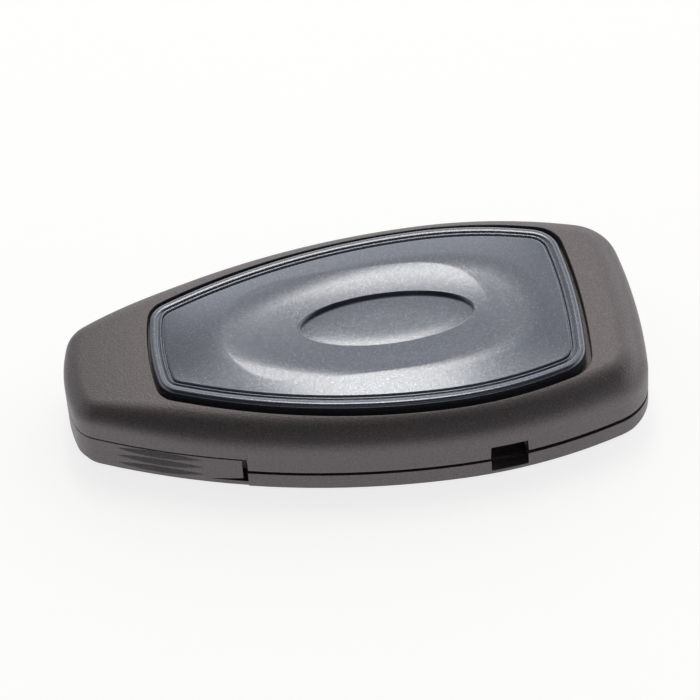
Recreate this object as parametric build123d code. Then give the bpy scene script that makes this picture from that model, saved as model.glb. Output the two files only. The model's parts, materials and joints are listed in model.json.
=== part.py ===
from build123d import *
from math import asin, cos, degrees, hypot, sin, sqrt
import os

# Remote key fob: lower shell with three buttons, electronics, inner housing, emergency key,
# and a lift-off cover with a gloss panel, held by two ribbed release arms at the narrow end.
# Frame: X along the fob (narrow end at -X), Y across, Z up. It lies on its button face, Z = 0.
# All sizes are in millimetres.

os.makedirs("parts", exist_ok=True)

# Plan of the fob
body_narrow_x = -36.0
body_narrow_half = 7.85
body_narrow_bulge = 1.3
body_narrow_radius = 4.45
body_mid_x = 11.0
body_mid_half = 20.0
body_wide_x = 36.15
body_wide_half = 14.5
body_wide_bulge = 1.15
body_wide_radius = 7.0

# Heights of the shells
rim_gap = 0.4
lower_rim_z = 2.7
crest_z = 10.3
fall_x = -26.5
nose_z = 9.2
shoulder_radius = 4.0
foot_edge = 0.5
rise_x = 27.5
end_rise = 1.2
floor_thickness = 1.2
shell_wall = 1.5
ledge_height = 0.8
ledge_width = 1.25
fit_gap = 0.25
seat_gap = 0.1
joint_gap = 0.15

# Gloss panel of the cover
panel_narrow_x = -25.05
panel_narrow_half = 7.5
panel_narrow_bulge = 0.75
panel_narrow_radius = 3.4
panel_mid_x = 10.8
panel_mid_half = 16.1
panel_wide_x = 28.45
panel_wide_half = 12.5
panel_wide_bulge = 0.9
panel_wide_radius = 4.4
window_side_gap = 0.95
window_narrow_gap = 0.25
window_wide_gap = 0.6
panel_seat_z = 8.9
panel_bead_z = 10.95
panel_field_z = 11.0
panel_bead_width = 1.3
panel_bead_radius = 0.5
panel_groove_width = 0.65
panel_groove_depth = 0.4
panel_skin = 1.15
panel_rim_width = 2.3
panel_ledge_thickness = 0.8
panel_ledge_width = 2.0
crown_rise = 0.93
dish_x = 7.0
dish_floor_z = 11.18
dish_rise = 0.29
dish_half_length = 17.0
dish_half_width = 9.7
crease_softness = 0.2
skin_columns = 13
skin_rows = 9
skin_tolerance = 0.03
badge_x = 4.75
badge_half_length = 11.3
badge_half_width = 4.8
badge_depth = 0.4

# Release arms, their pins and springs
arm_end_x = -16.15
arm_end_gap = 0.5
arm_thickness = 1.6
arm_room = 1.2
arm_bottom_z = 0.8
arm_top_z = 4.95
arm_edge = 0.35
arm_overhang = 0.6
arm_split_half = 0.2
pin_radius = 0.5
pin_run_gap = 0.05
pin_inset = 3.4
pin_y = 4.5
pin_bottom_z = 0.4
eye_radius = 1.3
eye_room = 0.3
eye_bottom_z = 1.6
eye_top_z = 4.15
lug_height = 0.9
scallop_count = 3
scallop_pitch = 1.35
scallop_x = -26.4
scallop_length = 11.0
scallop_depth = 0.4
scallop_height = 1.25
nose_x = -18.3
nose_length = 2.6
nose_inset = 1.95
nose_reach = 0.3
nose_width = 0.7
nose_top_z = 6.6
nose_root_height = 1.2
catch_reach = 0.35
catch_bottom_z = 5.3
catch_height = 0.6
spring_thickness = 0.2
spring_length = 9.0
spring_height = 2.2
spring_rise = 0.35
spring_bottom_z = 1.2
spring_shift = 1.5

# Prying slot in the near side
slot_x = 17.25
slot_width = 4.8
slot_bottom_z = 1.0
slot_top_z = 5.0
slot_depth = 2.2
slot_wall = 0.8
arch_height = 3.1
arch_side_height = 0.9
arch_sill = 0.3

# Button face
insert_narrow_x = -21.0
insert_narrow_half = 6.2
insert_narrow_bulge = 0.6
insert_narrow_radius = 2.5
insert_mid_x = 9.0
insert_mid_half = 11.6
insert_wide_x = 25.0
insert_wide_half = 9.6
insert_wide_bulge = 1.0
insert_wide_radius = 4.0
insert_thickness = 0.6
button_names = ("lock_button", "boot_button", "unlock_button")
button_pitch = 14.0
button_centre_x = 2.5
button_length = 9.6
button_width = 13.4
button_radius = 3.6
button_recess = 0.15
button_flange = 0.7
button_travel = 0.4

# Electronics
board_z = 2.3
board_thickness = 0.8
post_radius = 1.0
post_inset = 3.4
switch_size = 3.6
switch_plate = 0.45
cell_x = 15.5
cell_radius = 10.0
cell_height = 3.2
cell_can_step = 0.35
cell_cap_rim = 1.2
contact_thickness = 0.15
contact_pad_length = 9.0
contact_pad_width = 5.0
contact_tail_length = 8.0
contact_tail_width = 2.0
bracket_width = 6.0
bracket_finger = 2.5
bracket_foot = 1.2
chip_size = 5.0
chip_height = 0.9
coil_length = 8.0
coil_width = 6.4
coil_height = 2.6
coil_x = -13.0
coil_flange = 1.0
coil_step = 0.8
chip_x = -2.0
chip_y = 3.5
crystal_y = -3.5
crystal_length = 3.2
crystal_width = 2.5
crystal_height = 0.8
capacitor_length = 1.0
capacitor_width = 0.5
capacitor_height = 0.5
capacitor_count = 4
capacitor_pitch = 1.9
capacitor_x = -5.7
capacitor_y = -8.2

# Inner housing and emergency key
housing_wall = 1.0
deck_thickness = 0.65
key_thickness = 1.6
key_width = 6.6
key_blade_length = 33.0
key_tip_cut = 2.2
key_end_x = -22.0
key_track_width = 1.5
key_track_depth = 0.35
key_track_start = 5.0
key_track_bend = 1.2
head_length = 14.0
head_width = 12.5
head_height = 1.75
head_radius = 4.0
head_tang = 8.0
head_hole_radius = 1.6
guide_thickness = 0.8
guide_height = 0.9
guide_length = 28.0
guide_start = 1.0
play = 0.05
merge = 0.2

# Sizes that follow from the ones above
cover_rim_z = lower_rim_z + rim_gap
cover_arm_z = arm_top_z + seat_gap
arm_stop_x = arm_end_x + arm_end_gap
core_inset = shell_wall + fit_gap
arm_pocket_inset = arm_thickness + arm_room
arm_core_inset = arm_pocket_inset + shell_wall - joint_gap * 2
arm_floor_z = arm_bottom_z - joint_gap
ledge_z = floor_thickness + ledge_height
board_top_z = board_z + board_thickness
cell_bottom_z = board_top_z + contact_thickness
cell_top_z = cell_bottom_z + cell_height
deck_under_z = cell_top_z + contact_thickness + play
deck_z = deck_under_z + deck_thickness
panel_ledge_z = panel_seat_z - panel_ledge_thickness
panel_field_inset = panel_bead_width + panel_groove_width
housing_drop = shell_wall + 3 * fit_gap
lug_bottom_z = eye_top_z + seat_gap
lug_top_z = lug_bottom_z + lug_height
key_z = deck_z + play
narrow_end_x = body_narrow_x - body_narrow_bulge
pin_x = narrow_end_x + pin_inset
reach = body_wide_x - body_narrow_x
least_radius = 0.2


def circle(a, b, c):
    """Centre and radius of the circle through three points."""
    (ax, ay), (bx, by), (cx, cy) = a, b, c
    d = 2 * (ax * (by - cy) + bx * (cy - ay) + cx * (ay - by))
    a2, b2, c2 = ax * ax + ay * ay, bx * bx + by * by, cx * cx + cy * cy
    x = (a2 * (by - cy) + b2 * (cy - ay) + c2 * (ay - by)) / d
    y = (a2 * (cx - bx) + b2 * (ax - cx) + c2 * (bx - ax)) / d
    return x, y, hypot(ax - x, ay - y)


def crossing(first, second, towards):
    """Point where two circles cross: the further one along +X or -X, as towards says."""
    (ax, ay, ar), (bx, by, br) = first, second
    span = hypot(bx - ax, by - ay)
    along = (span * span + ar * ar - br * br) / (2 * span)
    off = sqrt(ar * ar - along * along)
    ux, uy = (bx - ax) / span, (by - ay) / span
    points = [(ax + along * ux - s * off * uy, ay + along * uy + s * off * ux) for s in (-1, 1)]
    return max(points, key=lambda point: towards * point[0])


def bow(end, middle):
    """Circle of one side: through the end point and level at the widest point, the middle."""
    (x, half), (middle_x, widest) = end, middle
    drop = widest - half
    radius = ((x - middle_x) ** 2 + drop ** 2) / (2 * drop)
    return middle_x, widest - radius, radius


def height_on(arc, x):
    """Upper y of a circle at x."""
    return arc[1] + sqrt(arc[2] ** 2 - (x - arc[0]) ** 2)


def plan(shape, inset=0.0):
    """Rounded tapering outline, moved inwards by inset: bowed sides and ends, round corners.

    shape is narrow end, middle and wide end: the ends are (x, half width, bulge, corner radius)
    and the middle is (x, half width). Each side is two arcs that meet level at the middle.
    Every arc keeps its centre as the outline moves inwards.
    """
    (nx, nw, nb, nr), middle, (wx, ww, wb, wr) = shape
    bows = bow((nx, nw), middle), bow((wx, ww), middle)
    tip = circle((nx, nw), (nx - nb, 0), (nx, -nw))
    end = circle((wx, ww), (wx + wb, 0), (wx, -ww))
    slim, full, tip, end = [(x, y, r - inset) for x, y, r in (*bows, tip, end)]
    cx, cy = crossing(slim, tip, -1)
    dx, dy = crossing(full, end, 1)
    mx, my = middle[0], middle[1] - inset
    ax, bx = (cx + mx) / 2, (dx + mx) / 2
    ay, by = height_on(slim, ax), height_on(full, bx)
    face = make_face([
        ThreePointArc((cx, cy), (ax, ay), (mx, my)),
        ThreePointArc((mx, my), (bx, by), (dx, dy)),
        ThreePointArc((dx, dy), (end[0] + end[2], 0), (dx, -dy)),
        ThreePointArc((dx, -dy), (bx, -by), (mx, -my)),
        ThreePointArc((mx, -my), (ax, -ay), (cx, -cy)),
        ThreePointArc((cx, -cy), (tip[0] - tip[2], 0), (cx, cy)),
    ])
    for group, radius in ((0, nr - inset), (-1, wr - inset)):
        if radius > least_radius:
            face = fillet(face.vertices().group_by(Axis.X)[group], radius)
    return face


def block(x0, x1, y0, y1, z0, z1):
    """Box from its lowest to its highest corner."""
    centre = ((x0 + x1) / 2, (y0 + y1) / 2, (z0 + z1) / 2)
    return Pos(*centre) * Box(x1 - x0, y1 - y0, z1 - z0)


def prism(face, z0, z1):
    """Flat face drawn on Z = 0, raised from z0 to z1."""
    return extrude(Pos(0, 0, z0) * face, z1 - z0, dir=(0, 0, 1))


def disc(x, y, radius, z0, z1):
    """Upright cylinder."""
    return Pos(x, y, (z0 + z1) / 2) * Cylinder(radius, z1 - z0)


body_shape = (
    (body_narrow_x, body_narrow_half, body_narrow_bulge, body_narrow_radius),
    (body_mid_x, body_mid_half),
    (body_wide_x, body_wide_half, body_wide_bulge, body_wide_radius),
)
panel_shape = (
    (panel_narrow_x, panel_narrow_half, panel_narrow_bulge, panel_narrow_radius),
    (panel_mid_x, panel_mid_half),
    (panel_wide_x, panel_wide_half, panel_wide_bulge, panel_wide_radius),
)
window_shape = (
    (
        panel_narrow_x - window_narrow_gap, panel_narrow_half + window_side_gap,
        panel_narrow_bulge, panel_narrow_radius,
    ),
    (panel_mid_x, panel_mid_half + window_side_gap),
    (
        panel_wide_x + window_wide_gap, panel_wide_half + window_side_gap,
        panel_wide_bulge, panel_wide_radius,
    ),
)
insert_shape = (
    (insert_narrow_x, insert_narrow_half, insert_narrow_bulge, insert_narrow_radius),
    (insert_mid_x, insert_mid_half),
    (insert_wide_x, insert_wide_half, insert_wide_bulge, insert_wide_radius),
)


def arm_zone(shift, z0, z1):
    """Block over the narrow end, as far as the ends of the release arms plus shift."""
    return block(-reach, arm_stop_x + shift, -reach, reach, z0, z1)


def core(shrink, z0, z1):
    """Body inside the cover's wall, stepped inwards behind the release arms."""
    wide_part = prism(plan(body_shape, core_inset + shrink), z0, z1)
    wide_part -= arm_zone(shell_wall + shrink, z0 - 1, z1 + 1)
    return wide_part + prism(plan(body_shape, arm_core_inset + shrink), z0, z1)


def under_top(drop):
    """Everything below the cover's top line, seen from the side and lowered by drop."""
    end_x = narrow_end_x - 1
    crest = Line((reach, crest_z - drop), (fall_x, crest_z - drop))
    fall = TangentArc((fall_x, crest_z - drop), (end_x, nose_z - drop), tangent=crest % 1)
    foot = Polyline((end_x, nose_z - drop), (end_x, -1), (reach, -1), (reach, crest_z - drop))
    side = Plane.XZ * make_face([crest, fall, *foot.edges()])
    return extrude(side, reach, both=True)


def make_lower_shell():
    """Tray on the button side, with posts for the board and pockets for arms, pins and slot."""
    shell = prism(plan(body_shape), 0, lower_rim_z)
    shell = chamfer(shell.faces().sort_by(Axis.Z)[0].edges(), foot_edge)
    pocket = prism(plan(body_shape), arm_floor_z, lower_rim_z + 1)
    pocket -= prism(plan(body_shape, arm_pocket_inset), 0, lower_rim_z + 2)
    shell -= pocket & arm_zone(0, 0, lower_rim_z + 2)
    overhang = prism(plan(body_shape), -1, arm_bottom_z) - prism(plan(body_shape, arm_overhang), -2, reach)
    shell -= overhang & arm_zone(0, -1, arm_bottom_z)
    shell -= end_relief()
    for side in (-1, 1):
        shell -= disc(pin_x, side * pin_y, eye_radius + eye_room, arm_floor_z, lower_rim_z + 1)
    shell -= core(-seat_gap, ledge_z, lower_rim_z + 1)
    shell -= core(ledge_width, floor_thickness, lower_rim_z + 1)
    for x, y in post_places():
        shell += disc(x, y, post_radius, floor_thickness - merge, board_z)
    for side in (-1, 1):
        boss = disc(pin_x, side * pin_y, eye_radius, arm_floor_z - merge, eye_bottom_z - seat_gap)
        shell += boss
        shell -= disc(pin_x, side * pin_y, pin_radius, pin_bottom_z, lower_rim_z + 1)
    shell -= slot_cutter()
    shell -= slot_block(seat_gap)
    shell -= prism(plan(insert_shape, -seat_gap / 2), -1, insert_thickness)
    for x in button_places():
        hole = RectangleRounded(
            button_length + 2 * button_flange + 2 * joint_gap,
            button_width + 2 * button_flange + 2 * joint_gap,
            button_radius + button_flange,
        )
        shell -= prism(Pos(x, 0) * hole, 0, floor_thickness + merge)
    return shell


def end_relief():
    """Block below the underside's wide end, which turns up in a circular arc."""
    run = body_wide_x + body_wide_bulge - rise_x
    radius = (run ** 2 + end_rise ** 2) / (2 * end_rise)
    roller = Pos(rise_x, 0, radius) * Rot(90, 0, 0) * Cylinder(radius, 2 * reach)
    return block(rise_x, reach, -reach, reach, -1, 2 * end_rise) - roller


def post_places():
    """Posts that carry the circuit board, two at each end."""
    wide_x = body_wide_x - core_inset - ledge_width - post_inset
    wide_y = body_wide_half - core_inset - ledge_width - post_inset
    narrow_x = arm_end_x - post_inset * 2
    narrow_y = body_narrow_half - arm_core_inset + ledge_width
    return [(x, s * y) for x, y in ((wide_x, wide_y), (narrow_x, narrow_y)) for s in (-1, 1)]


def button_places():
    """Centres of the buttons along X."""
    return [button_centre_x + (i - 1) * button_pitch for i in range(len(button_names))]


def slot_front_y():
    """Where the inner housing's wall stands behind the prying slot."""
    return core_inset - side_half(slot_x)


def slot_cutter():
    """Straight cut through the near wall for the tip of a flat tool."""
    return block(
        slot_x - slot_width / 2, slot_x + slot_width / 2,
        -reach, slot_front_y(), slot_bottom_z, slot_top_z,
    )


def side_half(x):
    """Half width of the fob's bowed side at x."""
    narrow, middle, wide = body_shape
    return height_on(bow(narrow[:2] if x < middle[0] else wide[:2], middle), x)


def slot_block(grow):
    """Thick part of the housing behind the prying slot, grown for the shell's cut-out."""
    front = slot_front_y()
    half = slot_width / 2 + slot_wall + grow
    return block(
        slot_x - half, slot_x + half, front - grow, front + slot_depth + slot_wall + grow,
        floor_thickness - grow / 2, lower_rim_z + 2,
    )


def make_inner_housing():
    """Upper half of the electronics case, with the deck that holds the emergency key."""
    case = core(0, ledge_z, deck_z) & under_top(housing_drop)
    hollow = core(housing_wall, ledge_z - 1, deck_under_z)
    case -= hollow & under_top(housing_drop + deck_thickness)
    front = slot_front_y()
    half = slot_width / 2 + slot_wall
    backing = block(
        slot_x - half, slot_x + half, front + housing_wall / 2, front + slot_depth + slot_wall,
        ledge_z, deck_under_z,
    )
    case += (slot_block(0) + backing) & prism(plan(body_shape, core_inset), 0, deck_z)
    case -= arch_cutter()
    guide_x0 = key_end_x + head_length + guide_start
    for side in (-1, 1):
        y = side * (key_width / 2 + fit_gap + guide_thickness / 2)
        case += block(
            guide_x0, guide_x0 + guide_length,
            y - guide_thickness / 2, y + guide_thickness / 2,
            deck_z - merge / 2, deck_z + guide_height,
        )
    for side in (-1, 1):
        y = side * pin_y
        case -= disc(pin_x, y, eye_radius + eye_room, 0, lug_bottom_z)
        lug = disc(pin_x, y, eye_radius, lug_bottom_z, lug_top_z)
        bridge = block(
            pin_x, pin_x + arm_core_inset, y - eye_radius, y + eye_radius, lug_bottom_z, lug_top_z
        )
        case += lug + bridge - prism(plan(body_shape, arm_core_inset + housing_wall), 0, reach)
        case -= disc(pin_x, y, pin_radius, 0, lug_top_z + 1)
    return case


def arch_cutter():
    """Arched pocket that the tool's tip turns in."""
    half = slot_width / 2
    front = -side_half(slot_x) - 1
    depth = core_inset + slot_depth + 1
    outline = make_face([
        Line((-half, 0), (half, 0)),
        Line((half, 0), (half, arch_side_height)),
        ThreePointArc((half, arch_side_height), (0, arch_height), (-half, arch_side_height)),
        Line((-half, arch_side_height), (-half, 0)),
    ])
    place = Plane(origin=(slot_x, front, slot_bottom_z + arch_sill), x_dir=(1, 0, 0), z_dir=(0, -1, 0))
    return extrude(place * outline, -depth)


def make_cover():
    """Lift-off cover: near-upright wall, rounded shoulder, window and ledge for the panel."""
    solid = prism(plan(body_shape), 0, crest_z + 2) & under_top(0)
    top = [f for f in solid.faces() if f.normal_at().Z > 0.5]
    rims = [e for f in top for e in f.edges() if not is_seam(e, top)]
    solid = fillet(rims, shoulder_radius)
    cavity = prism(plan(body_shape, shell_wall), -1, panel_ledge_z) & under_top(shell_wall)
    solid -= cavity
    solid -= block(-reach, reach, -reach, reach, -1, cover_rim_z)
    solid -= arm_zone(0, 0, cover_arm_z)
    solid -= prism(plan(window_shape), panel_seat_z, crest_z + 3)
    solid -= prism(plan(panel_shape, panel_ledge_width), 0, crest_z + 3)
    solid -= slot_cutter()
    for side in (-1, 1):
        solid += catch(side)
    return solid


def is_seam(edge, faces):
    """True for an edge that two of the top faces share."""
    middle = edge @ 0.5
    owners = [f for f in faces if min((e @ 0.5 - middle).length for e in f.edges()) < 1e-3]
    return len(owners) > 1


def catch(side):
    """Small rib inside the cover that a release arm's nose hooks over."""
    band = prism(plan(body_shape, shell_wall / 2), catch_bottom_z, catch_bottom_z + catch_height)
    band -= prism(plan(body_shape, shell_wall + catch_reach), 0, reach)
    return band & nose_zone(side)


def nose_zone(side):
    """Space that one release arm's nose and the cover's catch for it keep to."""
    x0, x1 = nose_x - nose_length / 2, nose_x + nose_length / 2
    return block(x0, x1, min(0, side * reach), max(0, side * reach), 0, reach)


def field_height(x, y):
    """Height of the panel's field: a pillow that falls to the bead, with a shallow dish in it.

    The pillow rises by crown_rise and falls with the square of the share of the half width,
    and with the fourth power of the share of the half length. The dish is a bowl. The lower
    of the two counts, and the crease between them is softened by crease_softness.
    """
    middle = (panel_narrow_x + panel_wide_x) / 2
    half_length = (panel_wide_x - panel_narrow_x) / 2 - panel_field_inset + panel_wide_bulge
    narrow_drop = panel_mid_half - panel_narrow_half
    wide_drop = panel_mid_half - panel_wide_half
    span = (panel_narrow_x if x < panel_mid_x else panel_wide_x) - panel_mid_x
    drop = narrow_drop if x < panel_mid_x else wide_drop
    half_width = panel_mid_half - panel_field_inset - drop * ((x - panel_mid_x) / span) ** 2
    across = (y / half_width) ** 2
    along = ((x - middle) / half_length) ** 4
    pillow = panel_field_z + crown_rise * (1 - across) * (1 - along)
    if across > 1 or along > 1:
        pillow = panel_field_z - crown_rise * (max(across, 1) * max(along, 1) - 1) * 0.5
    bowl = ((x - dish_x) / dish_half_length) ** 2 + (y / dish_half_width) ** 2
    dish = dish_floor_z + dish_rise * bowl
    lower, gap = min(pillow, dish), abs(pillow - dish)
    return lower - crease_softness * max(0.0, 1 - gap / (4 * crease_softness)) ** 2


def make_cover_panel():
    """Gloss panel: rounded bead, fine groove, crowned field with a dish and a bare oval."""
    frame = prism(plan(panel_shape), panel_seat_z, panel_bead_z)
    frame = fillet(frame.faces().sort_by(Axis.Z)[-1].edges(), panel_bead_radius)
    groove_z = panel_bead_z - panel_groove_depth
    frame -= prism(plan(panel_shape, panel_bead_width), groove_z, panel_bead_z + 1)
    x0, x1 = panel_narrow_x, panel_wide_x + panel_wide_bulge
    rows = []
    for i in range(skin_columns):
        x = x0 + (x1 - x0) * i / (skin_columns - 1)
        ys = [panel_mid_half * (2 * j / (skin_rows - 1) - 1) for j in range(skin_rows)]
        rows.append([Vector(x, y, field_height(x, y)) for y in ys])
    skin = Face.make_surface_from_array_of_points(rows, tol=skin_tolerance)
    under = extrude(skin, 2 * crown_rise, dir=(0, 0, -1))
    field = under & prism(plan(panel_shape, panel_field_inset), panel_seat_z + merge, reach)
    panel = frame + field
    badge = Pos(badge_x, 0) * Ellipse(badge_half_length, badge_half_width)
    panel -= prism(badge, dish_floor_z - badge_depth, reach)
    hollow_z = dish_floor_z - badge_depth - panel_skin
    return panel - prism(plan(panel_shape, panel_rim_width), panel_seat_z - 1, hollow_z)


def make_release_arm(side):
    """Ribbed arm wrapping half the narrow end, with an eye for its pin and a nose for the catch."""
    band = prism(plan(body_shape), arm_bottom_z, arm_top_z)
    band = chamfer(band.faces().sort_by(Axis.Z)[0].edges(), arm_edge)
    band -= prism(plan(body_shape, arm_thickness), 0, reach)
    half = block(
        -reach, arm_end_x, min(side * arm_split_half, side * reach),
        max(side * arm_split_half, side * reach), 0, reach,
    )
    arm = band & half
    web = block(
        narrow_end_x + arm_thickness / 2, pin_x,
        side * pin_y - eye_radius, side * pin_y + eye_radius, eye_bottom_z, eye_top_z,
    )
    web += disc(pin_x, side * pin_y, eye_radius, eye_bottom_z, eye_top_z)
    arm += web & half & prism(plan(body_shape, arm_thickness / 2), 0, reach)
    arm -= disc(pin_x, side * pin_y, pin_radius + pin_run_gap, 0, reach)
    for cutter in scallops(side):
        arm -= cutter
    root = prism(plan(body_shape, arm_thickness / 2), arm_top_z - nose_root_height, arm_top_z)
    stem = prism(plan(body_shape, nose_inset + nose_reach), arm_top_z - nose_root_height, nose_top_z)
    nose = prism(plan(body_shape, nose_inset), catch_bottom_z + catch_height + seat_gap, nose_top_z)
    hook = root + stem + nose - prism(plan(body_shape, nose_inset + nose_reach + nose_width), 0, reach)
    return arm + (hook & nose_zone(side))


def scallops(side):
    """Lens-shaped finger grooves: sharp-rimmed discs that graze the bowed side."""
    y = side_half(scallop_x)
    slope = side_half(scallop_x + 0.5) - side_half(scallop_x - 0.5)
    length = hypot(1, slope)
    out = (-slope / length, 1 / length)
    bend = 1 / bow(body_shape[0][:2], body_shape[1])[2]
    radius = 1 / (8 * scallop_depth / scallop_length ** 2 - bend)
    away = radius - scallop_depth
    x, centre_y = scallop_x + out[0] * away, side * (y + out[1] * away)
    small = radius - 2 * scallop_depth
    middle_z = (arm_bottom_z + arm_top_z) / 2
    for i in range(scallop_count):
        z = middle_z + (i - (scallop_count - 1) / 2) * scallop_pitch
        upper = Pos(x, centre_y, z + scallop_height / 2) * Cone(radius, small, scallop_height)
        lower = Pos(x, centre_y, z - scallop_height / 2) * Cone(small, radius, scallop_height)
        yield upper + lower


def make_arm_pin(side):
    """Steel pin that a release arm turns on, held by the shell and the housing."""
    return disc(pin_x, side * pin_y, pin_radius, pin_bottom_z, lug_top_z)


def make_arm_spring(side):
    """Bowed leaf spring between the shell's inner wall and a release arm."""
    centre_x, centre_y, radius = bow(body_shape[0][:2], body_shape[1])
    turn = asin((centre_x - scallop_x - spring_shift) / radius)
    seat = radius - arm_pocket_inset + spring_thickness
    half = spring_length / 2
    arc = ThreePointArc((-half, 0), (0, spring_rise), (half, 0))
    strip = trace(arc, spring_thickness)
    place = Pos(centre_x - seat * sin(turn), side * (centre_y + seat * cos(turn)))
    place *= Rot(0, 0, side * degrees(turn))
    leaf = mirror(strip, Plane.XZ) if side < 0 else strip
    return prism(place * leaf, spring_bottom_z, spring_bottom_z + spring_height)


def make_button_insert():
    """Thin gloss insert round the buttons."""
    plate = prism(plan(insert_shape), button_recess / 2, insert_thickness)
    for x in button_places():
        hole = RectangleRounded(
            button_length + 2 * joint_gap, button_width + 2 * joint_gap, button_radius + joint_gap
        )
        plate -= prism(Pos(x, 0) * hole, -1, insert_thickness + 1)
    return plate


def make_button(x):
    """Button with an inner flange, which keeps it in and is also its stop."""
    outline = Pos(x, 0) * RectangleRounded(button_length, button_width, button_radius)
    cap = prism(outline, button_recess, floor_thickness)
    flange = RectangleRounded(
        button_length + 2 * button_flange, button_width + 2 * button_flange,
        button_radius + button_flange - joint_gap,
    )
    return cap + prism(Pos(x, 0) * flange, insert_thickness, floor_thickness - seat_gap)


def make_switch(x):
    """Low push switch on the underside of the board."""
    base_z = board_z - switch_plate
    base = prism(Pos(x, 0) * Rectangle(switch_size, switch_size), base_z, board_z)
    top_z = floor_thickness + button_travel + play
    return base + disc(x, 0, switch_size / 4, top_z, base_z + play)


def make_circuit_board():
    """Board that fills the inside of the housing's wall, cut out round the prying slot."""
    return core(housing_wall + fit_gap, board_z, board_top_z) - slot_block(fit_gap)


def make_coin_cell():
    """Coin cell: a can with a smaller cap."""
    cap = disc(cell_x, 0, cell_radius - cell_cap_rim, cell_bottom_z, cell_bottom_z + cell_can_step * 2)
    return cap + disc(cell_x, 0, cell_radius, cell_bottom_z + cell_can_step, cell_top_z)


def make_negative_contact():
    """Flat spring plate under the cell."""
    pad = Pos(cell_x, 0) * Rectangle(contact_pad_length, contact_pad_width)
    tail_x = cell_x - (contact_pad_length + contact_tail_length) / 2 + 1
    tail = Pos(tail_x, 0) * Rectangle(contact_tail_length, contact_tail_width)
    return prism(pad + tail, board_top_z, cell_bottom_z)


def make_positive_contact():
    """Bracket beside the cell with a finger over its rim."""
    x0 = cell_x + cell_radius + seat_gap
    x1 = x0 + contact_thickness
    half = bracket_width / 2
    bracket = block(x0, x1, -half, half, board_top_z, cell_top_z + contact_thickness)
    foot = block(x0, x1 + bracket_foot, -half, half, board_top_z, board_top_z + contact_thickness)
    finger = block(x0 - bracket_finger, x1, -half, half, cell_top_z, cell_top_z + contact_thickness)
    return bracket + foot + finger


def on_board(x, y, length, width, height):
    """Rectangular component standing on the board."""
    return block(x - length / 2, x + length / 2, y - width / 2, y + width / 2,
                 board_top_z, board_top_z + height)


def make_antenna_coil():
    """Flanged ferrite core with its winding."""
    ends = on_board(coil_x, 0, coil_length, coil_width, coil_height)
    inner_length = coil_length - 2 * coil_flange
    ends -= on_board(coil_x, 0, inner_length, coil_width + 1, coil_height)
    winding = on_board(coil_x, 0, inner_length, coil_width - 2 * coil_step, coil_height - coil_step)
    return ends + Pos(0, 0, coil_step / 2) * winding


def make_capacitors():
    """Row of small chip capacitors beside the radio chip."""
    group = Part()
    for i in range(capacitor_count):
        x = capacitor_x + i * capacitor_pitch
        group += on_board(x, capacitor_y, capacitor_length, capacitor_width, capacitor_height)
    return group


def make_key_blade():
    """Emergency blade with a pointed tip and a wavy track milled in its upper face."""
    x0 = key_end_x + head_length - head_tang
    x1 = key_end_x + head_length + key_blade_length
    half = key_width / 2
    outline = make_face(Polyline(
        (x0, -half), (x1 - key_tip_cut, -half), (x1, -half + key_tip_cut),
        (x1, half - key_tip_cut), (x1 - key_tip_cut, half), (x0, half), close=True,
    ))
    blade = prism(outline, key_z, key_z + key_thickness)
    start = key_end_x + head_length + key_track_start
    steps = [start + key_blade_length * share for share in (0, 0.16, 0.3, 0.46, 0.6, 0.76, 0.9)]
    waves = (-0.9, 0.7, -0.4, 1.0, -0.8, 0.5, 0.0)
    route = FilletPolyline(*zip(steps, waves), radius=key_track_bend)
    track = trace(route, key_track_width)
    return blade - prism(track, key_z + key_thickness - key_track_depth, key_z + key_thickness + 1)


def make_blade_head():
    """Moulded grip of the emergency key."""
    face = Pos(key_end_x + head_length / 2, 0) * RectangleRounded(head_length, head_width, head_radius)
    head = prism(face, key_z, key_z + head_height)
    head -= disc(key_end_x + head_radius, 0, head_hole_radius, 0, reach)
    tang = block(key_end_x + head_length - head_tang, reach, -key_width / 2, key_width / 2,
                 key_z, key_z + key_thickness)
    return head - tang


nodes = {
    "lower_shell": make_lower_shell(),
    "button_insert": make_button_insert(),
    "inner_housing": make_inner_housing(),
    "circuit_board": make_circuit_board(),
    "coin_cell": make_coin_cell(),
    "battery_contact_negative": make_negative_contact(),
    "battery_contact_positive": make_positive_contact(),
    "radio_chip": on_board(chip_x, chip_y, chip_size, chip_size, chip_height),
    "crystal": on_board(chip_x, crystal_y, crystal_length, crystal_width, crystal_height),
    "antenna_coil": make_antenna_coil(),
    "capacitors": make_capacitors(),
    "cover": make_cover(),
    "cover_panel": make_cover_panel(),
    "key_blade": make_key_blade(),
    "blade_head": make_blade_head(),
}
for name, side in (("near", -1), ("far", 1)):
    nodes["release_arm_" + name] = make_release_arm(side)
    nodes["arm_pin_" + name] = make_arm_pin(side)
    nodes["arm_spring_" + name] = make_arm_spring(side)
for name, x in zip(button_names, button_places()):
    nodes[name] = make_button(x)
    nodes[name.replace("button", "switch")] = make_switch(x)

for name, shape in nodes.items():
    export_step(shape, "parts/" + name + ".step")
    box = shape.bounding_box()
    print(name, "%.1f mm3" % shape.volume, [round(v, 2) for v in (*box.min, *box.max)])
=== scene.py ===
import json
from math import acos, asin, atan2, cos, hypot, pi, radians, sin, sqrt

import bmesh
import bpy
import numpy as np
from mathutils import Matrix, Vector


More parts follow.
